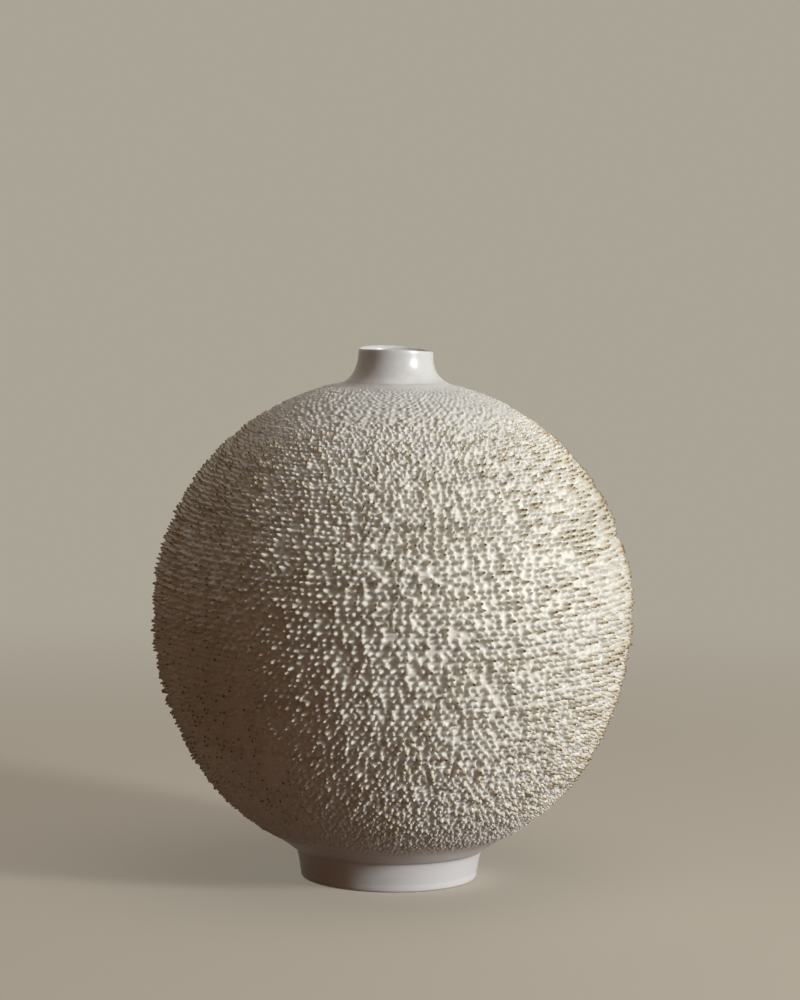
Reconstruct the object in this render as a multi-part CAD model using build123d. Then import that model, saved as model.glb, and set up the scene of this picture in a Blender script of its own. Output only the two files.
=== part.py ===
from build123d import *
import os
from math import acos, atan2, cos, hypot, pi, sin

# A moon jar of thrown porcelain, in millimetres.
# Two bowls are luted rim to rim, a collar and a foot ring are luted on, and spikes of slip are built
# up one at a time all over the belly.
# The origin is the middle of the foot, on the surface that the jar stands on, and +Z is up.

# Outline over the spike tips: half an ellipse above the belly and half a deeper one below it
tip_radius = 150.0
belly_level = 171.0
upper_tip_rise = 143.6
lower_tip_drop = 165.9

# Spikes, long on the belly and dying away to nubs beside the collar and above the foot
spike_length = 6.0
nub_length = 1.2
spike_fade = 88.0
spike_growth = 1.5
spike_radius = 3.8
closest_pitch = 8.0
bare_above_foot = 12.0
spike_corners = 3
seat_shares = 0.34
stagger_share = 0.2

# Thrown walls
wall = 5.0
floor = 7.0
floor_radius = 34.0
base_level = 13.0

# Collar, with its neck and lip
rim_level = 331.0
collar_joint_radius = 46.0
neck_radius = 23.2
neck_straight = 1.5
inner_neck_straight = 11.0
flare_shares = 0.42, 1.13
lip_wall = 2.2
lip_edge = 0.6

# Foot ring, all of it placed from the radius that it stands on
foot_radius = 55.0
foot_swell = 1.3
foot_flare = 5.0
foot_wall = 9.0
foot_waist_level = 9.0
foot_edge = 1.2
foot_waist_radius = foot_radius + foot_swell
foot_joint_radius = foot_radius + foot_flare
foot_bore_radius = foot_radius - foot_wall

# Slip that lutes one thrown piece to the next
slip = 0.8

# Walls are turned in flat sides, so that every spike has a flat seat
sides = 40
bowl_bands = 9
rows_in_band = 2
spike_zones = 3
inner_bowl_bands = 6
collar_bands = 7
inner_collar_bands = 5


def rise_of(angle):
    """Height of the quarter ellipse that an angle lies on, counted up and down from the belly."""
    return upper_tip_rise if angle > 0 else lower_tip_drop


def skin(angle):
    """Point on the outline over the tips. Every outline point is a vector of radius and level."""
    return Vector(tip_radius * cos(angle), belly_level + rise_of(angle) * sin(angle))


def outward(angle):
    return Vector(cos(angle) / tip_radius, sin(angle) / rise_of(angle)).normalized()


def spike_height(angle):
    bare_radius = collar_joint_radius if angle > 0 else foot_joint_radius
    share = min(max((skin(angle).X - bare_radius) / spike_fade, 0), 1)
    return nub_length + (spike_length - nub_length) * share**spike_growth


def outer(angle):
    return skin(angle) - outward(angle) * spike_height(angle)


def inner(angle):
    return outer(angle) - outward(angle) * wall


def turn(length, angle):
    """The change of angle that runs a short length along the outline."""
    return length / hypot(tip_radius * sin(angle), rise_of(angle) * cos(angle))


def steps(start, end, count):
    return [start + (end - start) * step / count for step in range(count + 1)]


upper_rim_angle = turn(slip / 2, 0)
lower_rim_angle = -turn(slip / 2, 0)
mouth_angle = acos(collar_joint_radius / tip_radius)
collar_angle = mouth_angle + turn(slip, mouth_angle)
foot_angle = -acos(foot_joint_radius / tip_radius)
foot_joint = outer(foot_angle)
base_corner = Vector(foot_bore_radius, base_level)
slip_step = Vector(0, -slip)


def turned(outline):
    """Solid of flat sides, from a closed outline carried round the axis."""
    rings = [
        [Vector(point.X, 0, point.Y).rotate(Axis.Z, 360 * side / sides) for side in range(sides)]
        for point in outline
    ]
    faces = []
    for low, high in zip(rings, rings[1:] + rings[:1]):
        for side in range(sides):
            after = (side + 1) % sides
            corners = [low[side], low[after], high[after], high[side]]
            corners = [corner for i, corner in enumerate(corners) if corner != corners[i - 1]]
            if len(corners) > 2:
                faces.append(Face(Wire.make_polygon(corners, close=True)))
    return Solid(Shell(faces))


def flare(start, angle, radius, level, count):
    """Hollow curve that leaves a bowl's wall in line with it and ends upright on the neck."""
    lean = outward(angle)
    corner = Vector(radius, start.Y + (start.X - radius) * lean.X / lean.Y)
    end = Vector(radius, level)
    near_start = start + (corner - start) * flare_shares[0]
    near_end = end + (corner - end) * flare_shares[1]
    return [
        start * (1 - t) ** 3
        + near_start * (3 * t * (1 - t) ** 2)
        + near_end * (3 * t**2 * (1 - t))
        + end * t**3
        for t in steps(0, 1, count)
    ]


def make_upper_bowl():
    outside = [outer(angle) for angle in steps(upper_rim_angle, mouth_angle, bowl_bands)]
    inside = [inner(angle) for angle in steps(mouth_angle, upper_rim_angle, inner_bowl_bands)]
    return turned(outside + inside)


def make_lower_bowl():
    outside = [outer(angle) for angle in steps(lower_rim_angle, foot_angle, bowl_bands)]
    inside = [inner(angle) for angle in steps(foot_angle, lower_rim_angle, inner_bowl_bands)]
    floor_level = base_level + floor
    base = [base_corner, Vector(0, base_level), Vector(0, floor_level), Vector(floor_radius, floor_level)]
    return turned(outside + base + inside)


def make_collar():
    neck_bore_radius = neck_radius - lip_wall
    neck_level = rim_level - neck_straight
    inner_neck_level = rim_level - inner_neck_straight
    outside = flare(outer(collar_angle), collar_angle, neck_radius, neck_level, collar_bands)
    inside = flare(inner(collar_angle), collar_angle, neck_bore_radius, inner_neck_level, inner_collar_bands)
    lip = [
        Vector(neck_radius, rim_level - lip_edge),
        Vector(neck_radius - lip_edge, rim_level),
        Vector(neck_bore_radius + lip_edge, rim_level),
        Vector(neck_bore_radius, rim_level - lip_edge),
    ]
    return turned(outside + lip + inside[::-1])


def make_foot_ring():
    return turned(
        [
            Vector(foot_radius - foot_edge, 0),
            Vector(foot_radius, foot_edge),
            Vector(foot_waist_radius, foot_waist_level),
            foot_joint + slip_step,
            base_corner + slip_step,
            Vector(foot_bore_radius, foot_edge),
            Vector(foot_bore_radius + foot_edge, 0),
        ]
    )


def make_belly_seam():
    return turned(
        [outer(upper_rim_angle), inner(upper_rim_angle), inner(lower_rim_angle), outer(lower_rim_angle)]
    )


def make_collar_seam():
    return turned([outer(mouth_angle), outer(collar_angle), inner(collar_angle), inner(mouth_angle)])


def make_foot_seam():
    return turned([foot_joint, base_corner, base_corner + slip_step, foot_joint + slip_step])


def pyramid(base, tip):
    walls = [[base[i - 1], base[i], tip] for i in range(len(base))]
    return Solid(Shell([Face(Wire.make_polygon(corners, close=True)) for corners in [base] + walls]))


def spikes_on_side(angle, next_angle):
    """The spikes that stand on one flat side of one band, on the side that faces +X."""
    half_turn = pi / sides
    low, high = outer(angle), outer(next_angle)
    up = Vector(high.X * cos(half_turn) - low.X * cos(half_turn), 0, high.Y - low.Y).normalized()
    spikes = []
    for row in range(rows_in_band):
        share = (row + 0.5) / rows_in_band
        row_angle = angle + (next_angle - angle) * share
        middle = low + (high - low) * share
        width = 2 * middle.X * sin(half_turn)
        columns = max(int(width / closest_pitch), 1)
        pitch = width / columns
        radius = min(spike_radius, pitch * seat_shares)
        if skin(row_angle).Y < foot_joint.Y + bare_above_foot:
            continue
        for column in range(columns):
            across = (column + 0.5) * pitch - width / 2 + (-1) ** row * stagger_share * pitch
            seat = Vector(middle.X * cos(half_turn), across, middle.Y)
            base = [
                seat + (up * cos(turned_by) + Vector(0, sin(turned_by), 0)) * radius
                for turned_by in [2 * pi * corner / spike_corners for corner in range(spike_corners)]
            ]
            tip = skin(row_angle)
            tip_turn = atan2(seat.Y, seat.X)
            spikes.append(pyramid(base, Vector(tip.X * cos(tip_turn), tip.X * sin(tip_turn), tip.Y)))
    return spikes


def make_spikes(start_angle, end_angle, zone):
    """The spikes of one zone of a bowl. The zones are counted from the belly."""
    angles = steps(start_angle, end_angle, bowl_bands)
    on_one_side = []
    for band in range(bowl_bands * zone // spike_zones, bowl_bands * (zone + 1) // spike_zones):
        on_one_side += spikes_on_side(angles[band], angles[band + 1])
    return Compound(
        [spike.rotate(Axis.Z, 360 * (side + 0.5) / sides) for side in range(sides) for spike in on_one_side]
    )


pieces = {
    "lower_bowl": make_lower_bowl(),
    "upper_bowl": make_upper_bowl(),
    "collar": make_collar(),
    "foot_ring": make_foot_ring(),
    "belly_seam": make_belly_seam(),
    "collar_seam": make_collar_seam(),
    "foot_seam": make_foot_seam(),
}
for zone, place in enumerate(["upper_belly", "shoulder", "collar"]):
    pieces[f"{place}_spikes"] = make_spikes(upper_rim_angle, mouth_angle, zone)
for zone, place in enumerate(["lower_belly", "hip", "foot"]):
    pieces[f"{place}_spikes"] = make_spikes(lower_rim_angle, foot_angle, zone)

os.makedirs("parts", exist_ok=True)
for name, piece in pieces.items():
    export_step(piece, f"parts/{name}.step")
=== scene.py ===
import bpy
import math
import numpy as np
from mathutils import Matrix, Vector


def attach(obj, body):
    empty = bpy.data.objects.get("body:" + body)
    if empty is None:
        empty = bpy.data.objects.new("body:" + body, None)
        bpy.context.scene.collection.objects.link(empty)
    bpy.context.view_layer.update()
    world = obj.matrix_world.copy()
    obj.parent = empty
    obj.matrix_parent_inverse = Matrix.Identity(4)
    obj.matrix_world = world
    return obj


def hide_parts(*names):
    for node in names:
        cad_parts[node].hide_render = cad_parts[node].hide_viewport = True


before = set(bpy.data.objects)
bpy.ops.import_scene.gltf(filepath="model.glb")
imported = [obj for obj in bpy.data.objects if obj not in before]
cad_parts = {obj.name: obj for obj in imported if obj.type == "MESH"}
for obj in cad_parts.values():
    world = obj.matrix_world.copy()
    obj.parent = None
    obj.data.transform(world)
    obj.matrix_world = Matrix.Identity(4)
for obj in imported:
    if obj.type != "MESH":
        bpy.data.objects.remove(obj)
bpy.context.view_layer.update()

# Looks of a moon jar: a thrown wall under a dense field of spikes, a smooth neck and a turned foot.
# The wall is one grid of points, cut into rings from the foot up. Each point lies on the jar's outline,
# pushed out by the spikes and ridges around it. Lengths are in metres, through MM, and turns in radians.

MM = 0.001
FULL_TURN = 2 * math.pi

# Outline over the spike tips, as in the solids
TIP_RADIUS = 150.0 * MM
BELLY_LEVEL = 171.0 * MM
UPPER_RISE = 143.6 * MM
LOWER_DROP = 165.9 * MM

# Full length of the spikes, and the wall that they stand on
SPIKE_LENGTH = 6.6 * MM
NUB_LENGTH = 1.2 * MM
SPIKE_FADE = 88.0 * MM
SPIKE_GROWTH = 1.5
WALL = 4.4 * MM

# How far the wall stands out beyond its two half ellipses: a little all over, and more below the belly
FULLER_HIGH = 0.6 * MM
FULLER_HIGH_TO = 306.0 * MM
FULLER_LOW = 1.3 * MM
FULLER_LOW_TO = 222.0 * MM
FULLER_FALL = 36.0 * MM
FULLER_FROM = 28.0 * MM
FULLER_RISE = 30.0 * MM

# Collar and neck
RIM_LEVEL = 332.1 * MM
COLLAR_JOINT_RADIUS = 46.0 * MM
NECK_RADIUS = 23.2 * MM
NECK_STRAIGHT = 1.5 * MM
FLARE_SHARES = (0.42, 1.13)
INNER_NECK_STRAIGHT = 11.0 * MM

# Lip, rounded outside and bevelled inside, on a rim that isn't quite level or round
LIP_WALL = 2.2 * MM
LIP_ROUND = 0.36 * MM
LIP_RUN = 2.0 * MM
LIP_CREST = 0.5 * MM
LIP_BEVEL = 3.4 * MM
LIP_BEVEL_BEND = 1 / 3
RIM_SWAY_FROM = 312.0 * MM
RIM_SWAY_RUN = 12.0 * MM
RIM_TILT = 0.0375
RIM_LOW_TURN = 0.4
RIM_DIP = 0.7 * MM
RIM_DIP_TURN = 0.2
RIM_OVAL_SHARE = 0.006
RIM_OVAL_TURN = 0.8

# Base and foot ring
FOOT_JOINT_RADIUS = 60.0 * MM
FOOT_RADIUS = 55.0 * MM
FOOT_WAIST_RADIUS = 56.3 * MM
FOOT_WAIST_LEVEL = 9.0 * MM
FOOT_BORE_RADIUS = 46.0 * MM
FOOT_EDGE = 1.4 * MM
FOOT_FILLET = 1.3 * MM
FOOT_FILLET_RUN = 9.0 * MM
FOOT_FILLET_REACH = 2.2 * MM
BASE_LEVEL = 13.0 * MM
UNDERSIDE_RADII = (FOOT_BORE_RADIUS, 20.0 * MM, 3.0 * MM)
INNER_FLOOR_LEVEL = 20.0 * MM
INNER_FLOOR_RADII = (3.0 * MM, 18.0 * MM, 34.0 * MM)
WIPED_LEVEL = 4.3 * MM
WIPED_EDGE = 1.0 * MM

# Spike field: columns round the jar, and rows up it whose pitch follows the radius
COLUMNS = 168
ROW_SHARE = 0.67
LEAST_ROW = 2.2 * MM
STAGGER = 0.16
JITTER = 0.27
ROW_JITTER = 0.18
WANDERS = ((44, 56, 0.34), (14, 20, 0.5))
SEED = 7

# The field's two ends: the radii that it dies away to, and the thinning out of spikes above
FIELD_LOW_RADIUS = 70.0 * MM
FIELD_TOP_RADIUS = 31.0 * MM
FADE_RUN = 13.0 * MM
FADE_RUN_TOP = 15.0 * MM
THIN_TO_RADIUS = 70.0 * MM
THIN_FROM_RADIUS = 86.0 * MM
DROPPED_LENGTH = 0.12

# Length of each spike, as a share of the full length at its place
LEAST_LENGTH = 0.52
LENGTH_POWER = 1.3
LENGTH_WAVE = (22, 34, 0.12)
STUNTED_CHANCE = 0.12
STUNTED_LENGTH = 0.4
LENGTH_LIMITS = (0.1, 1.08)

# Shape of each spike: its half width at half height, its flanks and its lean
TIP_HALF_WIDTH = 1.08 * MM
TIP_HALF_WIDTH_SHARE = 0.27
THIN_WIDER = 0.35
THIN_SHARE_WIDER = 1.2
WIDTH_RANGE = (0.78, 1.28)
TIP_POWER = 3.5
LEAN = 0.25 * MM

# Ridges that join a spike to the next one up, or to the next one round
RIDGE_UP_CHANCE = 0.62
RIDGE_UP_RANGE = (0.20, 0.48)
RIDGE_ROUND_CHANCE = 0.13
RIDGE_ROUND_RANGE = (0.2, 0.5)
RIDGE_POWER = 2.6
LOW_RIDGE_LEAST = 0.35
LOW_RIDGE_FROM = 45.0 * MM
LOW_RIDGE_RUN = 70.0 * MM
TOP_RIDGE_LEAST = 0.15
TOP_RIDGE_FROM = 258.0 * MM
TOP_RIDGE_RUN = 32.0 * MM
BLEND_POWER = 4.0

# Brown of the tips: on long spikes alone, and on fewer of them on the paler side of the jar
BROWN_RANGE = (0.72, 1.0)
BROWN_LEAST = 0.15
BROWN_FROM_SHARE = 0.73
BROWN_RUN_SHARE = 0.07
BROWN_FROM_LENGTH = 1.2 * MM
BROWN_RUN_LENGTH = 3.0 * MM
PALER_SIDE = 0.12
PALER_TURN = math.radians(-95)
HALO_WEIGHT = 0.30
HALO_FROM = 0.40
HALO_RUN = 0.45
POINT_WEIGHT = 0.70
POINT_RUN = 0.045

# Glaze: where it counts as spiked, and the painted light between the spikes, where the valleys are
# painted lighter and the peaks darker to stand in for light bounced into the valleys and softer shading
SPIKED_SHARE = 2.2
VALLEY_LIGHT_SHARE = 1.3
VALLEY_LIGHT_DEPTH = 0.4

# Points of the meshes: places across one cell of the field, and counts along the outlines
EASED = {
    8: np.array([0, 0.08, 0.17, 0.28, 0.5, 0.72, 0.83, 0.92]),
    6: np.array([0, 0.13, 0.28, 0.5, 0.72, 0.87]),
    4: np.array([0, 0.2, 0.5, 0.8]),
}
ACROSS_CELL = 8
UP_CELL = ((3.9 * MM, 8), (2.4 * MM, 6), (0, 4))
MOST_ROWS = 68
SMOOTH_COLUMNS = 256
BOWL_POINTS = 1600
FLARE_POINTS = 240
CURVE_POINTS = 6
STRAIGHT_POINTS = 8
FOOT_SIDE_POINTS = 24
NECK_STEP = 4
BASE_STEP = 12
NORMAL_REACH = 30
CRISP = 0.05 * MM
HAIR = 0.02 * MM
NEVER_ZERO = 1e-30

# Colours, in linear light
GLAZE_SMOOTH = (0.69, 0.71, 0.715)
GLAZE_FOOT = (0.70, 0.713, 0.725)
BARE_CLAY = (0.755, 0.775, 0.79)
# Painted light: the glaze under the belly and on the jar's floor is lighter than the other smooth glazes,
# standing in for light bounced up onto the underside
UNDER_GLAZE_PAINTED_LIGHTER = (0.77, 0.775, 0.765)
# Painted light on the spikes: peaks painted darker and valleys painted lighter, standing in for softer
# shading and light bounced into the valleys
PEAK_PAINTED_DARKER = (0.695, 0.695, 0.67)
VALLEY_PAINTED_LIGHTER = (0.82, 0.82, 0.77)
STAIN_STOPS = (
    (0.0, (1, 1, 1)),
    (0.24, (0.94, 0.85, 0.62)),
    (0.46, (0.38, 0.22, 0.08)),
    (0.66, (0.040, 0.019, 0.008)),
)
MOTTLE_STOPS = ((0.35, (0.93, 0.95, 0.94)), (0.65, (1.0, 0.99, 0.97)))
MOTTLE_NOISE = (18.0, 4.0)
PATCH_NOISE = (22.0, 5.0)
PATCH_STOPS = ((0.3, 0.97), (0.7, 1.03))

# Gloss: roughness, coat, roughness of the coat and depth that light goes into the glaze
SUBSURFACE = 0.8
SPIKE_GLOSS = (0.42, 0.12, 0.1, 2.5 * MM)
NECK_GLOSS = (0.3, 0.35, 0.025, 1.8 * MM)
FOOT_GLOSS = (0.45, 0.12, 0.025, 1.8 * MM)

# Camera, floor and background
CAMERA_LENS = 140.4
CAMERA_PLACE = (0.0039, -2.419, 0.5005)
CAMERA_DOWN = math.radians(6.2)
CAMERA_ROLL = math.radians(0.8)
BACKDROP = (0.405, 0.373, 0.306)
AMBIENT = (1.0, 0.46, 0.19)
AMBIENT_STRENGTH = 0.084
FLOOR_COLOUR = (0.30, 0.277, 0.234)
FLOOR_GLOW = (0.19, 0.174, 0.142)
FLOOR_BOUNCE = (0.12, 0.05, 0.024)
FLOOR_ROUGHNESS = 0.9
FLOOR_HALF = 6.0
FLOOR_FADE = (0.45, 1.25)

# Lamps: place, what they aim at, width, height, power and colour
JAR_MIDDLE = (0, 0, 0.17)
DAYLIGHT = (1.0, 0.985, 0.96)
LAMPS = {
    "key": ((1.995, -1.2, 0.93), JAR_MIDDLE, 0.37, 0.50, 50.5, DAYLIGHT),
    "low": ((1.9, -1.1, 0.12), (0, 0, 0.05), 0.3, 0.3, 4, DAYLIGHT),
    "top": ((0.3, -0.2, 2.2), JAR_MIDDLE, 1.6, 1.6, 9, DAYLIGHT),
    "back": ((0.1, 2.3, 0.7), JAR_MIDDLE, 1.2, 1.2, 1.3, (1.0, 0.93, 0.84)),
}

rng = np.random.default_rng(SEED)


# Outline of the jar

def rise_of(angle):
    return np.where(angle > 0, UPPER_RISE, LOWER_DROP)


def skin(angle):
    """Radius and level of the outline over the tips; the angle is 0 at the belly."""
    return np.stack([TIP_RADIUS * np.cos(angle), BELLY_LEVEL + rise_of(angle) * np.sin(angle)], -1)


def outward(angle):
    lean = np.stack([np.cos(angle) / TIP_RADIUS, np.sin(angle) / rise_of(angle)], -1)
    return lean / np.linalg.norm(lean, axis=-1, keepdims=True)


def spike_height(angle):
    bare = np.where(angle > 0, COLLAR_JOINT_RADIUS, FOOT_JOINT_RADIUS)
    share = np.clip((skin(angle)[..., 0] - bare) / SPIKE_FADE, 0, 1)
    return NUB_LENGTH + (SPIKE_LENGTH - NUB_LENGTH) * share**SPIKE_GROWTH


def outer(angle):
    return skin(angle) - outward(angle) * spike_height(angle)[..., None]


def inner(angle):
    return outer(angle) - outward(angle) * WALL


def smooth(x):
    """Smooth step from 0 to 1."""
    x = np.clip(x, 0, 1)
    return x * x * (3 - 2 * x)


def flare(start, angle, radius, level):
    """Hollow curve that leaves a bowl's wall in line with it and ends upright on the neck."""
    lean = outward(angle)
    corner = np.array([radius, start[1] + (start[0] - radius) * lean[0] / lean[1]])
    end = np.array([radius, level])
    near_start = start + (corner - start) * FLARE_SHARES[0]
    near_end = end + (corner - end) * FLARE_SHARES[1]
    return curve([start, near_start, near_end, end], FLARE_POINTS)


def curve(controls, count):
    """Bezier curve of three or four control points."""
    t = np.linspace(0, 1, count)[:, None]
    weights = [(1 - t) ** 2, 2 * t * (1 - t), t**2]
    if len(controls) == 4:
        weights = [(1 - t) ** 3, 3 * t * (1 - t) ** 2, 3 * t**2 * (1 - t), t**3]
    return sum(np.array(point) * weight for point, weight in zip(controls, weights))


# One outline for the outside and one for the inside, point for point, from foot joint to neck
foot_angle = -math.acos(FOOT_JOINT_RADIUS / TIP_RADIUS)
mouth_angle = math.acos(COLLAR_JOINT_RADIUS / TIP_RADIUS)
bowl_angles = np.linspace(foot_angle, mouth_angle, BOWL_POINTS)
mouth = np.array(mouth_angle)
outer_flare = flare(outer(mouth), mouth, NECK_RADIUS, RIM_LEVEL - NECK_STRAIGHT)
inner_flare = flare(inner(mouth), mouth, NECK_RADIUS - LIP_WALL, RIM_LEVEL - INNER_NECK_STRAIGHT)
outside = np.concatenate([outer(bowl_angles), outer_flare[1:]])
inside = np.concatenate([inner(bowl_angles), inner_flare[1:]])
filleted = smooth((FOOT_JOINT_RADIUS + FOOT_FILLET_RUN - outside[:, 0]) / FOOT_FILLET_RUN)
outside[:, 1] -= np.where(outside[:, 1] < BELLY_LEVEL, FOOT_FILLET * filleted, 0)

# Tables along the outside: length run, directions along it and across it, and full spike length
run = np.concatenate([[0], np.cumsum(np.linalg.norm(np.diff(outside, axis=0), axis=1))])
along = np.gradient(outside, run, axis=0)
across = np.stack([along[:, 1], -along[:, 0]], -1)
across /= np.linalg.norm(across, axis=1, keepdims=True)
kernel = np.hanning(2 * NORMAL_REACH + 1)
kernel /= kernel.sum()
padded = np.pad(across, ((NORMAL_REACH, NORMAL_REACH), (0, 0)), mode="edge")
across = np.stack([np.convolve(column, kernel, "valid") for column in padded.T], -1)
full_height = np.concatenate([spike_height(bowl_angles), np.full(FLARE_POINTS - 1, NUB_LENGTH)])
belly = int(np.argmax(outside[:, 0]))


def at(s, table):
    """Radii and levels, or directions, of a table of the outline at the lengths s along it."""
    return np.stack([np.interp(s, run, column) for column in table.T], -1)


def radius_at(s):
    return np.interp(s, run, outside[:, 0])


def level_at(s):
    return np.interp(s, run, outside[:, 1])


def height_at(s):
    return np.interp(s, run, full_height)


def turned(flat, turn):
    """Points or normals of radius and level, carried round the axis."""
    upright = flat[..., 1] * np.ones_like(turn)
    return np.stack([flat[..., 0] * np.cos(turn), flat[..., 0] * np.sin(turn), upright], -1)


# The field of spikes

field_start = float(np.interp(FIELD_LOW_RADIUS, outside[:belly, 0], run[:belly]))
field_end = float(np.interp(-FIELD_TOP_RADIUS, -outside[belly:, 0], run[belly:]))


def spike_rows():
    rows = [field_start]
    while rows[-1] < field_end:
        pitch = FULL_TURN * float(radius_at(rows[-1])) / COLUMNS * ROW_SHARE
        rows.append(rows[-1] + max(pitch, LEAST_ROW))
    rows = np.array(rows)
    return field_start + (rows - field_start) * (field_end - field_start) / (rows[-1] - field_start)


row_runs = spike_rows()
row_count = len(row_runs)
row_pitch = np.gradient(row_runs)
field_shape = (row_count, COLUMNS)
column_step = FULL_TURN / COLUMNS


def soft_noise(cells_up, cells_round, weight):
    """Smooth random field over the spikes, up to a weight each way, that joins up round the jar."""
    coarse = rng.uniform(-1, 1, (cells_up + 2, cells_round))
    y = np.linspace(0, cells_up, row_count)
    x = np.arange(COLUMNS) * cells_round / COLUMNS
    y0 = y.astype(int)
    x0 = x.astype(int)
    fy = smooth(y - y0)[:, None]
    fx = smooth(x - x0)[None, :]
    x1 = (x0 + 1) % cells_round
    low = coarse[y0][:, x0] * (1 - fx) + coarse[y0][:, x1] * fx
    high = coarse[y0 + 1][:, x0] * (1 - fx) + coarse[y0 + 1][:, x1] * fx
    return (low * (1 - fy) + high * fy) * weight


def draw(low, high):
    """A random value for every spike."""
    return rng.uniform(low, high, field_shape)


def by_chance(share):
    return draw(0, 1) < share


# Every spike: where it stands
shift = np.where(np.arange(row_count) % 2, STAGGER, -STAGGER)[:, None]
wander = sum(soft_noise(*waves) for waves in WANDERS)
spike_turn = column_step * (np.arange(COLUMNS)[None, :] + shift + wander + draw(-JITTER, JITTER))
spike_run = row_runs[:, None] + row_pitch[:, None] * draw(-ROW_JITTER, ROW_JITTER)
spike_run[0] = row_runs[0]
spike_run[-1] = row_runs[-1]
spike_radius = radius_at(spike_run)
spike_level = level_at(spike_run)
above_belly = spike_run > run[belly]
fade_low = smooth((spike_radius - FIELD_LOW_RADIUS) / FADE_RUN)
fade_top = smooth((spike_radius - FIELD_TOP_RADIUS) / FADE_RUN_TOP)
thin = 1 - smooth((spike_radius - THIN_TO_RADIUS) / (THIN_FROM_RADIUS - THIN_TO_RADIUS))
thin = np.where(above_belly, thin, 0)

# How long it is: near the collar every other one may drop out
length_share = LEAST_LENGTH + (1 - LEAST_LENGTH) * draw(0, 1) ** LENGTH_POWER
length_share += soft_noise(*LENGTH_WAVE)
length_share *= np.where(by_chance(STUNTED_CHANCE), STUNTED_LENGTH, 1)
every_other = (np.arange(row_count)[:, None] + np.arange(COLUMNS)[None, :]) % 2 == 1
length_share = np.where(every_other & by_chance(thin), DROPPED_LENGTH, length_share)
spike_long = height_at(spike_run) * np.clip(length_share, *LENGTH_LIMITS)
spike_long *= np.where(above_belly, fade_top, fade_low)

# How thick it is and how it leans
half_in_pitch = column_step * spike_radius * TIP_HALF_WIDTH_SHARE * (1 + THIN_SHARE_WIDER * thin)
spike_half = np.minimum(TIP_HALF_WIDTH * (1 + THIN_WIDER * thin), half_in_pitch) * draw(*WIDTH_RANGE)
lean_round = rng.normal(0, LEAN, field_shape)
lean_up = rng.normal(0, LEAN, field_shape)

# How brown its tip is
paler = PALER_SIDE * np.clip(np.cos(spike_turn - PALER_TURN), 0, 1) ** 2
long_enough = smooth((length_share - BROWN_FROM_SHARE - paler) / BROWN_RUN_SHARE)
brown = draw(*BROWN_RANGE) * (BROWN_LEAST + (1 - BROWN_LEAST) * long_enough)
brown *= smooth((spike_long - BROWN_FROM_LENGTH) / BROWN_RUN_LENGTH)

# How high the ridges from it stand, as shares of its length
above_low_end = smooth((spike_level - LOW_RIDGE_FROM) / LOW_RIDGE_RUN)
near_top = smooth((spike_level - TOP_RIDGE_FROM) / TOP_RIDGE_RUN)
ridge_up = np.where(by_chance(RIDGE_UP_CHANCE), draw(*RIDGE_UP_RANGE), 0) * (1 - thin)
ridge_up *= LOW_RIDGE_LEAST + (1 - LOW_RIDGE_LEAST) * above_low_end
ridge_up *= 1 - (1 - TOP_RIDGE_LEAST) * near_top
ridge_round = np.where(by_chance(RIDGE_ROUND_CHANCE), draw(*RIDGE_ROUND_RANGE), 0)

# A cell lies between four spikes: 0 and 1 stand for its low and high row, and its left and right side
SIDES = (0, 1)
CORNERS = [(a, b) for a in SIDES for b in SIDES]


def corner_values(table, row, step):
    """A row's values at the left corners of its cells, or with step 1 at the right ones."""
    return np.roll(table[row], -step)[None, :, None]


def corner_turns(row, step):
    """The same for the turns, counted on past the last column."""
    turns = np.roll(spike_turn[row], -step)
    if step:
        turns[-step:] += FULL_TURN
    return turns[None, :, None]


def ridge_height(x, y, start, end, height, half):
    """Height of a round-topped ridge between two spikes, at points x, y of the unrolled wall."""
    dx = end[0] - start[0]
    dy = end[1] - start[1]
    t = np.clip(((x - start[0]) * dx + (y - start[1]) * dy) / (dx * dx + dy * dy), 0, 1)
    distance = np.hypot(x - start[0] - t * dx, y - start[1] - t * dy)
    return height / (1 + (distance / half) ** RIDGE_POWER)


def cell_points(row):
    """Turns and runs of the points in the cells between one row of spikes and the next one up."""
    gap = row_runs[row + 1] - row_runs[row]
    count = next(points for least_gap, points in UP_CELL if gap > least_gap)
    up = EASED[count][:, None, None]
    over = EASED[ACROSS_CELL][None, None, :]
    turn = 0
    s = 0
    for a, b in CORNERS:
        weight = (up if a else 1 - up) * (over if b else 1 - over)
        turn = turn + weight * corner_turns(row + a, b)
        s = s + weight * corner_values(spike_run, row + a, b)
    return turn, s


def blend_ridges(row, x, y, places):
    """Height, to the power that it is blended with, of the ridges along the four sides of each cell."""
    total = 0
    for b in SIDES:
        mean_long = (corner_values(spike_long, row, b) + corner_values(spike_long, row + 1, b)) / 2
        height = corner_values(ridge_up, row, b) * mean_long
        half = corner_values(spike_half, row, b)
        total = total + ridge_height(x, y, places[0, b], places[1, b], height, half) ** BLEND_POWER
    for a in SIDES:
        height = corner_values(ridge_round, row + a, 0) * corner_values(spike_long, row + a, 0)
        half = corner_values(spike_half, row + a, 0)
        total = total + ridge_height(x, y, places[a, 0], places[a, 1], height, half) ** BLEND_POWER
    return total


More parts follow.
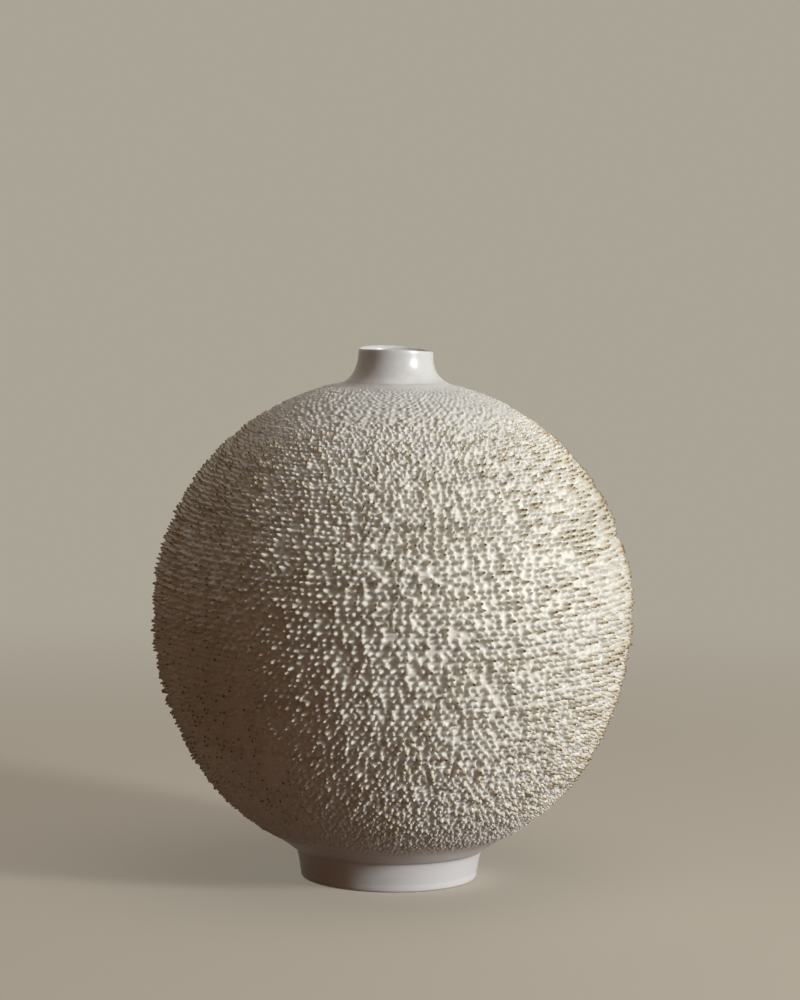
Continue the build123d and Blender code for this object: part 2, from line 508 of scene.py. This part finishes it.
def cell_rows(row):
    """Rows of the skin's points from one row of spikes to the next: turns, runs, heights and stains."""
    turn, s = cell_points(row)
    radius = radius_at(s)
    left = turn[:1, :, :1]
    total = 0
    push_round = 0
    push_up = 0
    tip = np.zeros_like(s)
    places = {}
    for a, b in CORNERS:
        c_turn = corner_turns(row + a, b)
        c_run = corner_values(spike_run, row + a, b)
        distance = np.hypot(radius * (turn - c_turn), s - c_run)
        share = 1 / (1 + (distance / corner_values(spike_half, row + a, b)) ** TIP_POWER)
        power = (corner_values(spike_long, row + a, b) * share) ** BLEND_POWER
        total = total + power
        push_round = push_round + power * share * corner_values(lean_round, row + a, b)
        push_up = push_up + power * share * corner_values(lean_up, row + a, b)
        halo = HALO_WEIGHT * smooth((share - HALO_FROM) / HALO_RUN)
        point = POINT_WEIGHT / (1 + ((1 - share) / POINT_RUN) ** 2)
        tip = np.maximum(tip, corner_values(brown, row + a, b) * (halo + point))
        places[a, b] = (radius * (c_turn - left), c_run)
    total = np.maximum(total + blend_ridges(row, radius * (turn - left), s, places), NEVER_ZERO)
    height = total ** (1 / BLEND_POWER)
    turn = turn + push_round / total / radius
    s = s + push_up / total
    return [value.reshape(len(value), -1) for value in (turn, s, height, tip)]


def fuller_by(level):
    """How far the wall stands out beyond the two half ellipses."""
    low_end = smooth((level - FULLER_FROM) / FULLER_RISE)
    low_part = FULLER_LOW * smooth((FULLER_LOW_TO - level) / FULLER_FALL)
    high_part = FULLER_HIGH * smooth((FULLER_HIGH_TO - level) / FULLER_FALL)
    return low_end * (low_part + high_part)


def spiked_skin():
    """All points of the spiked skin in rows, with their normals, turns, runs, heights and tip stains."""
    blocks = [cell_rows(row) for row in range(row_count - 1)]
    turn, s, height, tip = [np.concatenate(values) for values in zip(*blocks)]
    over = EASED[ACROSS_CELL]
    last_turn = corner_turns(row_count - 1, 0) * (1 - over) + corner_turns(row_count - 1, 1) * over
    blank = np.zeros((1, turn.shape[1]))
    turn = np.concatenate([turn, last_turn.reshape(1, -1)])
    s = np.concatenate([s, blank + row_runs[-1]])
    height = np.concatenate([height, blank])
    tip = np.concatenate([tip, blank])
    base = at(s, outside)
    stand_out = height + fuller_by(base[..., 1])
    points = turned(base + at(s, across) * stand_out[..., None], turn)
    with_ends = np.concatenate([points[:1], points, points[-1:]])
    up_step = with_ends[2:] - with_ends[:-2]
    round_step = np.roll(points, -1, 1) - np.roll(points, 1, 1)
    normals = np.cross(round_step, up_step)
    normals /= np.linalg.norm(normals, axis=-1, keepdims=True)
    for end in (0, -1):
        normals[end] = turned(at(s[end], across), turn[end])
    return points, normals, turn, s, height, tip


# Meshes

ARC_MARGIN = 0.03
MAP_MARGIN = 0.005
CAP_PLACE = (0.5, 0.0025)
CAP_RADIUS = 0.002
CAP_STEP = (0.1, 0)


def bake_map(rows, columns, closed, arcs):
    """Bake map of a grid: its arcs lie one above the other, and the two end caps are tiny discs."""
    i, j = np.meshgrid(np.arange(rows), np.arange(columns), indexing="ij")
    arc = j * arcs // columns
    first = -(-arc * columns // arcs)
    after = -(-(arc + 1) * columns // arcs)
    u0, u1 = [(j + step - first) / (after - first) for step in (0, 1)]
    v0, v1 = [(arc + ARC_MARGIN + (1 - 2 * ARC_MARGIN) * (i + step) / rows) / arcs for step in (0, 1)]
    corners = [np.stack(corner, -1) for corner in ((u0, v0), (u1, v0), (u1, v1), (u0, v1))]
    places = MAP_MARGIN + (1 - 2 * MAP_MARGIN) * np.stack(corners, 2).reshape(-1, 2)
    if closed:
        return places
    ring = FULL_TURN * np.arange(columns) / columns
    disc = np.array(CAP_PLACE) + CAP_RADIUS * np.stack([np.cos(ring), np.sin(ring)], -1)
    return np.concatenate([places, disc, disc + CAP_STEP])


def link_mesh(name, points, arcs, closed=True, normals=None, **layers):
    """Mesh of a grid of points that joins up round the jar, and up and down too if it is closed."""
    rows, columns = points.shape[:2]
    index = np.arange(rows * columns).reshape(rows, columns)
    low = index if closed else index[:-1]
    high = np.roll(index, -1, 0) if closed else index[1:]
    quads = np.stack([low, np.roll(low, -1, 1), np.roll(high, -1, 1), high], -1).reshape(-1, 4)
    corners = quads.ravel()
    starts = np.arange(len(quads)) * 4
    if not closed:
        starts = np.concatenate([starts, [len(corners), len(corners) + columns]])
        corners = np.concatenate([corners, index[0][::-1], index[-1]])
    mesh = bpy.data.meshes.new(name)
    mesh.vertices.add(rows * columns)
    mesh.vertices.foreach_set("co", points.astype(np.float32).ravel())
    mesh.loops.add(len(corners))
    mesh.loops.foreach_set("vertex_index", corners.astype(np.int32))
    mesh.polygons.add(len(starts))
    mesh.polygons.foreach_set("loop_start", starts.astype(np.int32))
    mesh.update(calc_edges=True)
    mesh.shade_smooth()
    places = bake_map(len(low), columns, closed, arcs)
    mesh.uv_layers.new(name="OFBake").uv.foreach_set("vector", places.astype(np.float32).ravel())
    for key, values in layers.items():
        layer = mesh.attributes.new(key, "FLOAT", "POINT")
        layer.data.foreach_set("value", values.astype(np.float32).ravel())
    if normals is not None:
        mesh.normals_split_custom_set_from_vertices(normals.reshape(-1, 3).tolist())
    piece = bpy.data.objects.new(name, mesh)
    bpy.context.scene.collection.objects.link(piece)
    return piece


def ring_points(outline):
    """Rows of points round the axis, one row for each point of an outline."""
    turns = FULL_TURN * np.arange(SMOOTH_COLUMNS) / SMOOTH_COLUMNS
    return turned(np.asarray(outline)[:, None, :], turns[None, :])


# Materials

def node_tree(name):
    material = bpy.data.materials.new(name)
    material.use_nodes = True
    return material, material.node_tree.nodes, material.node_tree.links


def add_node(nodes, kind, **values):
    node = nodes.new(kind)
    for key, value in values.items():
        setattr(node, key, value)
    return node


def ramp_of(nodes, links, factor, stops):
    """Colour that runs through the stops as the factor goes up."""
    node = nodes.new("ShaderNodeValToRGB")
    ramp = node.color_ramp
    while len(ramp.elements) < len(stops):
        ramp.elements.new(0.5)
    for element, (position, colour) in zip(ramp.elements, stops):
        element.position = position
        element.color = (*colour, 1)
    links.new(factor, node.inputs["Fac"])
    return node.outputs["Color"]


def painted(nodes, key):
    """A value that the mesh carries at each of its points."""
    return add_node(nodes, "ShaderNodeAttribute", attribute_name=key).outputs["Fac"]


def noise_of(nodes, scale, detail):
    noise = nodes.new("ShaderNodeTexNoise")
    noise.inputs["Scale"].default_value = scale
    noise.inputs["Detail"].default_value = detail
    return noise.outputs["Fac"]


def mix_plain(nodes, links, factor, colour, other):
    """From one plain colour, at factor 0, to another colour, plain or worked out by a node."""
    mixed = add_node(nodes, "ShaderNodeMix", data_type="RGBA")
    links.new(factor, mixed.inputs["Factor"])
    mixed.inputs["A"].default_value = (*colour, 1)
    if isinstance(other, tuple):
        mixed.inputs["B"].default_value = (*other, 1)
    else:
        links.new(other, mixed.inputs["B"])
    return mixed.outputs["Result"]


def multiply(nodes, links, first, second):
    mixed = add_node(nodes, "ShaderNodeMix", data_type="RGBA", blend_type="MULTIPLY")
    mixed.inputs["Factor"].default_value = 1.0
    links.new(first, mixed.inputs["A"])
    links.new(second, mixed.inputs["B"])
    return mixed.outputs["Result"]


def set_gloss(shader, roughness, coat, coat_roughness, depth):
    shader.inputs["Roughness"].default_value = roughness
    shader.inputs["Coat Weight"].default_value = coat
    shader.inputs["Coat Roughness"].default_value = coat_roughness
    shader.inputs["Subsurface Weight"].default_value = SUBSURFACE
    shader.inputs["Subsurface Radius"].default_value = (1.0, 1.0, 1.0)
    shader.inputs["Subsurface Scale"].default_value = depth


def make_spike_glaze():
    material, nodes, links = node_tree("spike_glaze")
    shader = nodes["Principled BSDF"]
    # Painted light: darker peaks and lighter valleys, by how deep each point lies in the relief
    painted_valley_lit = ramp_of(nodes, links, painted(nodes, "painted_valley_light"), ((0.0, PEAK_PAINTED_DARKER), (1.0, VALLEY_PAINTED_LIGHTER)))
    body = mix_plain(nodes, links, painted(nodes, "grown"), GLAZE_SMOOTH, painted_valley_lit)
    mottle = ramp_of(nodes, links, noise_of(nodes, *MOTTLE_NOISE), MOTTLE_STOPS)
    mottled = multiply(nodes, links, body, mottle)
    stain = ramp_of(nodes, links, painted(nodes, "tip"), STAIN_STOPS)
    links.new(multiply(nodes, links, mottled, stain), shader.inputs["Base Color"])
    set_gloss(shader, *SPIKE_GLOSS)
    return material


def wipe_foot(nodes, links, glazed):
    """Bare clay, where the glaze was wiped off the bottom of the foot."""
    place = nodes.new("ShaderNodeTexCoord")
    parts = nodes.new("ShaderNodeSeparateXYZ")
    links.new(place.outputs["Object"], parts.inputs[0])
    level = add_node(nodes, "ShaderNodeMapRange", interpolation_type="SMOOTHSTEP")
    level.inputs["From Min"].default_value = WIPED_LEVEL
    level.inputs["From Max"].default_value = WIPED_LEVEL + WIPED_EDGE
    links.new(parts.outputs["Z"], level.inputs["Value"])
    return mix_plain(nodes, links, level.outputs["Result"], BARE_CLAY, glazed)


def make_smooth_glaze(name, colour, gloss, wiped=False):
    material, nodes, links = node_tree(name)
    shader = nodes["Principled BSDF"]
    stops = [(position, [shade * c for c in colour]) for position, shade in PATCH_STOPS]
    glazed = ramp_of(nodes, links, noise_of(nodes, *PATCH_NOISE), stops)
    links.new(wipe_foot(nodes, links, glazed) if wiped else glazed, shader.inputs["Base Color"])
    set_gloss(shader, *gloss)
    return material


# One glaze for each kind of surface
spike_glaze = make_spike_glaze()
neck_glaze = make_smooth_glaze("neck_glaze", GLAZE_SMOOTH, NECK_GLOSS)
foot_glaze = make_smooth_glaze("foot_glaze", GLAZE_FOOT, FOOT_GLOSS, wiped=True)
# Underside glaze, painted lighter as a stand-in for bounced light under the belly
underside_painted_light_glaze = make_smooth_glaze("underside_painted_light_glaze", UNDER_GLAZE_PAINTED_LIGHTER, FOOT_GLOSS)


# Wall, in rings from the foot up

ZONES = [
    ("foot", ["foot_spikes", "lower_bowl"]),
    ("hip", ["hip_spikes", "lower_bowl"]),
    ("lower_belly", ["lower_belly_spikes", "lower_bowl"]),
    ("upper_belly", ["upper_belly_spikes", "upper_bowl", "belly_seam"]),
    ("shoulder", ["shoulder_spikes", "upper_bowl"]),
    ("collar", ["collar_spikes", "upper_bowl"]),
]
ZONES_EACH_WAY = 3


def zone_of(level):
    """Which sixth of the wall a level lies in: three below the belly and three above."""
    last = ZONES_EACH_WAY - 1
    if level < BELLY_LEVEL:
        angle = math.asin(min((BELLY_LEVEL - level) / LOWER_DROP, 1))
        return last - min(int(angle / (-foot_angle / ZONES_EACH_WAY)), last)
    angle = math.asin(min((level - BELLY_LEVEL) / UPPER_RISE, 1))
    return ZONES_EACH_WAY + min(int(angle / (mouth_angle / ZONES_EACH_WAY)), last)


def make_wall():
    points, normals, turn, s, height, tip = spiked_skin()
    local = height_at(s)
    top_end = smooth((radius_at(s) - FIELD_TOP_RADIUS) / FADE_RUN_TOP)
    spiked = top_end * np.clip(SPIKED_SHARE * local / SPIKE_LENGTH, 0, 1)
    # How far down in the relief a point lies, which is where the painted valley light goes
    valley = 1 - np.clip(height / (VALLEY_LIGHT_DEPTH * local), 0, 1)
    layers = {
        "painted_valley_light": np.clip(VALLEY_LIGHT_SHARE * local / SPIKE_LENGTH, 0, 1) * valley,
        "tip": tip,
        "grown": np.where(s > run[belly], spiked, 1),
    }
    total = len(points) - 1
    count = math.ceil(total / MOST_ROWS)
    cuts = [round(total * k / count) for k in range(count + 1)]
    for number, (start, end) in enumerate(zip(cuts, cuts[1:])):
        pick = slice(start, end + 1)
        middle = (start + end) // 2
        inner_rows = [end, middle, start]
        inner_turn = turn[inner_rows]
        inner_line = at(s[inner_rows].mean(1), inside)
        inner_points = turned(inner_line[:, None, :], inner_turn)
        inward = -turned(at(s[inner_rows], across), inner_turn)
        grid = np.concatenate([points[pick], inner_points])
        grid_normals = np.concatenate([normals[pick], inward])
        blank = np.zeros_like(inner_turn)
        painted_on = {key: np.concatenate([layer[pick], blank]) for key, layer in layers.items()}
        place, nodes = ZONES[zone_of(float(points[middle, :, 2].mean()))]
        spread = FULL_TURN * float(radius_at(s[middle].mean()))
        arcs = max(1, round(math.sqrt(spread / float(s[end].mean() - s[start].mean()))))
        name = f"{place}_wall_{number + 1:02d}"
        piece = link_mesh(name, grid, arcs, normals=grid_normals, **painted_on)
        piece.data.materials.append(spike_glaze)
        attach(piece, "root")
        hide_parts(*nodes)


# Smooth pieces, each turned from an outline

def round_corner(before, corner, after, radius):
    """Points of a small round corner of an outline."""
    before, corner, after = (np.array(p, dtype=float) for p in (before, corner, after))
    start = corner + (before - corner) / np.linalg.norm(before - corner) * radius
    end = corner + (after - corner) / np.linalg.norm(after - corner) * radius
    return curve([start, corner, end], CURVE_POINTS)


def keep_crisp(outline, places):
    """Outline with a point close to each side of a corner, so that the shading runs true up to it."""
    points = []
    for number, point in enumerate(outline):
        if number not in places:
            points.append(point)
            continue
        for near in (outline[number - 1], point, outline[(number + 1) % len(outline)]):
            way = near - point
            length = np.linalg.norm(way)
            points.append(point + way / length * CRISP if length else point)
    return np.array(points)


def sway_rim(points):
    """The rim leans, dips and runs a little oval, as a hand-thrown lip does."""
    share = smooth((points[..., 2] - RIM_SWAY_FROM) / RIM_SWAY_RUN)
    turns = np.arctan2(points[..., 1], points[..., 0])
    low_side = points[..., 0] * np.cos(RIM_LOW_TURN) + points[..., 1] * np.sin(RIM_LOW_TURN)
    points[..., 2] -= share * (RIM_TILT * low_side + RIM_DIP * np.cos(2 * (turns - RIM_DIP_TURN)))
    out = 1 + share * RIM_OVAL_SHARE * np.sin(2 * turns + RIM_OVAL_TURN)
    points[..., 0] *= out
    points[..., 1] *= out
    return points


def make_neck():
    pick = run >= field_end
    field_edge = np.array([field_end])
    neck_top = np.linspace(outside[-1], (NECK_RADIUS, RIM_LEVEL), CURVE_POINTS)[1:]
    outer_side = np.concatenate([outside[pick][::NECK_STEP], neck_top])
    rounded = np.clip((outer_side[:, 1] - RIM_LEVEL + LIP_RUN) / LIP_RUN, 0, 1)
    outer_side[:, 0] -= LIP_ROUND * rounded**2
    outer_edge = outer_side[-1]
    inner_edge = outer_edge - [LIP_CREST, 0]
    top = (outer_edge + inner_edge) / 2 + [0, LIP_CREST / 2]
    crest = curve([outer_edge, top, inner_edge], CURVE_POINTS)
    bore_radius = NECK_RADIUS - LIP_WALL
    bevel_corner = (bore_radius, RIM_LEVEL - LIP_BEVEL * LIP_BEVEL_BEND)
    bevel = curve([inner_edge, bevel_corner, (bore_radius, RIM_LEVEL - LIP_BEVEL)], CURVE_POINTS)
    bore = np.linspace(bevel[-1], inside[-1], STRAIGHT_POINTS)[1:-1]
    outline = np.concatenate([
        at(field_edge, outside), outer_side, crest[1:], bevel[1:], bore,
        inside[pick][::-NECK_STEP], at(field_edge, inside),
    ])
    keep = np.concatenate([[True], np.linalg.norm(np.diff(outline, axis=0), axis=1) > HAIR])
    outline = outline[keep]
    outline = keep_crisp(outline, (0, len(outline) - 1))
    piece = link_mesh("neck", sway_rim(ring_points(outline)), arcs=3)
    piece.data.materials.append(neck_glaze)
    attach(piece, "root")
    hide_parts("collar", "collar_seam")


def make_base():
    """The bare band under the spikes, with the floor of the jar, its glaze painted lighter to stand in
    for light bounced up under the belly.
    """
    pick = run <= field_start
    field_edge = np.array([field_start])
    outline = np.concatenate([
        [(radius, INNER_FLOOR_LEVEL) for radius in INNER_FLOOR_RADII],
        inside[pick][::BASE_STEP],
        at(field_edge, inside),
        at(field_edge, outside),
        outside[pick][::-BASE_STEP],
        [(radius, BASE_LEVEL) for radius in UNDERSIDE_RADII],
    ])[::-1]
    piece = link_mesh("base", ring_points(outline), arcs=3, closed=False)
    piece.data.materials.append(underside_painted_light_glaze)
    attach(piece, "root")
    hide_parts("lower_bowl")


def make_foot():
    joint = outside[0] - [0, HAIR]
    bore_top = np.array([FOOT_BORE_RADIUS, BASE_LEVEL - HAIR])
    low_out = (FOOT_RADIUS, 0)
    low_in = (FOOT_BORE_RADIUS, 0)
    waist = np.array([FOOT_WAIST_RADIUS, FOOT_WAIST_LEVEL])
    swell = joint - along[0] * FOOT_FILLET_REACH
    start = round_corner(low_in, low_out, waist, FOOT_EDGE)
    side = curve([start[-1], waist, swell, joint], FOOT_SIDE_POINTS)[1:]
    bore = round_corner(bore_top, low_in, low_out, FOOT_EDGE)
    outline = np.concatenate([start, side, [bore_top], bore])
    outline = keep_crisp(outline, (len(start) + len(side) - 1,))
    piece = link_mesh("foot", ring_points(outline), arcs=4)
    piece.data.materials.append(foot_glaze)
    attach(piece, "root")
    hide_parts("foot_ring", "foot_seam")


# Camera, lamps, floor and background

def make_camera():
    camera = bpy.data.objects.new("camera", bpy.data.cameras.new("camera"))
    camera.data.lens = CAMERA_LENS
    camera.location = CAMERA_PLACE
    pitch = Matrix.Rotation(math.pi / 2 - CAMERA_DOWN, 3, "X")
    roll = Matrix.Rotation(CAMERA_ROLL, 3, "Z")
    camera.rotation_euler = (pitch @ roll).to_euler()
    bpy.context.scene.collection.objects.link(camera)
    bpy.context.scene.camera = camera


def make_lamp(name, place, aim, width, height, power, colour):
    lamp = bpy.data.objects.new(name, bpy.data.lights.new(name, "AREA"))
    lamp.data.shape = "RECTANGLE"
    lamp.data.size = width
    lamp.data.size_y = height
    lamp.data.energy = power
    lamp.data.color = colour
    lamp.location = place
    lamp.rotation_euler = (Vector(place) - Vector(aim)).to_track_quat("Z", "Y").to_euler()
    bpy.context.scene.collection.objects.link(lamp)


def seen_ray(nodes, links):
    """1 for the rays of the camera, of reflections and of what shows through glass, and 0 for others."""
    path = nodes.new("ShaderNodeLightPath")
    seen = add_node(nodes, "ShaderNodeMath", operation="MAXIMUM")
    links.new(path.outputs["Is Camera Ray"], seen.inputs[0])
    links.new(path.outputs["Is Glossy Ray"], seen.inputs[1])
    also = add_node(nodes, "ShaderNodeMath", operation="MAXIMUM")
    links.new(seen.outputs[0], also.inputs[0])
    links.new(path.outputs["Is Transmission Ray"], also.inputs[1])
    return also.outputs[0]


def blend_shaders(nodes, links, factor, first, second, output):
    mixed = nodes.new("ShaderNodeMixShader")
    links.new(factor, mixed.inputs["Fac"])
    links.new(first.outputs[0], mixed.inputs[1])
    links.new(second.outputs[0], mixed.inputs[2])
    links.new(mixed.outputs[0], nodes[output].inputs["Surface"])


def make_floor():
    """Floor of the background's colour, which fades out with distance and still shows the shadow."""
    low, high = -FLOOR_HALF, FLOOR_HALF
    mesh = bpy.data.meshes.new("floor")
    mesh.from_pydata([(low, low, 0), (high, low, 0), (high, high, 0), (low, high, 0)], [], [(0, 1, 2, 3)])
    floor = bpy.data.objects.new("floor", mesh)
    bpy.context.scene.collection.objects.link(floor)
    material, nodes, links = node_tree("floor")
    shader = nodes["Principled BSDF"]
    seen = seen_ray(nodes, links)
    links.new(mix_plain(nodes, links, seen, FLOOR_BOUNCE, FLOOR_COLOUR), shader.inputs["Base Color"])
    links.new(mix_plain(nodes, links, seen, (0, 0, 0), FLOOR_GLOW), shader.inputs["Emission Color"])
    shader.inputs["Emission Strength"].default_value = 1.0
    shader.inputs["Roughness"].default_value = FLOOR_ROUGHNESS
    place = nodes.new("ShaderNodeTexCoord")
    distance = add_node(nodes, "ShaderNodeVectorMath", operation="LENGTH")
    links.new(place.outputs["Object"], distance.inputs[0])
    fade = add_node(nodes, "ShaderNodeMapRange", interpolation_type="SMOOTHSTEP")
    fade.inputs["From Min"].default_value = FLOOR_FADE[0]
    fade.inputs["From Max"].default_value = FLOOR_FADE[1]
    links.new(distance.outputs["Value"], fade.inputs["Value"])
    clear = nodes.new("ShaderNodeBsdfTransparent")
    blend_shaders(nodes, links, fade.outputs["Result"], shader, clear, "Material Output")
    floor.data.materials.append(material)


def make_world():
    """Dim warm light from all round, and an even backdrop."""
    world = bpy.data.worlds.new("world")
    bpy.context.scene.world = world
    world.use_nodes = True
    nodes = world.node_tree.nodes
    links = world.node_tree.links
    ambient = nodes["Background"]
    ambient.inputs["Color"].default_value = (*AMBIENT, 1)
    ambient.inputs["Strength"].default_value = AMBIENT_STRENGTH
    shown = nodes.new("ShaderNodeBackground")
    shown.inputs["Color"].default_value = (*BACKDROP, 1)
    shown.inputs["Strength"].default_value = 1.0
    blend_shaders(nodes, links, seen_ray(nodes, links), ambient, shown, "World Output")


make_camera()
make_wall()
make_neck()
make_base()
make_foot()
make_floor()
make_world()
for name, lamp in LAMPS.items():
    make_lamp(name, *lamp)
bpy.context.scene.view_settings.view_transform = "Standard"
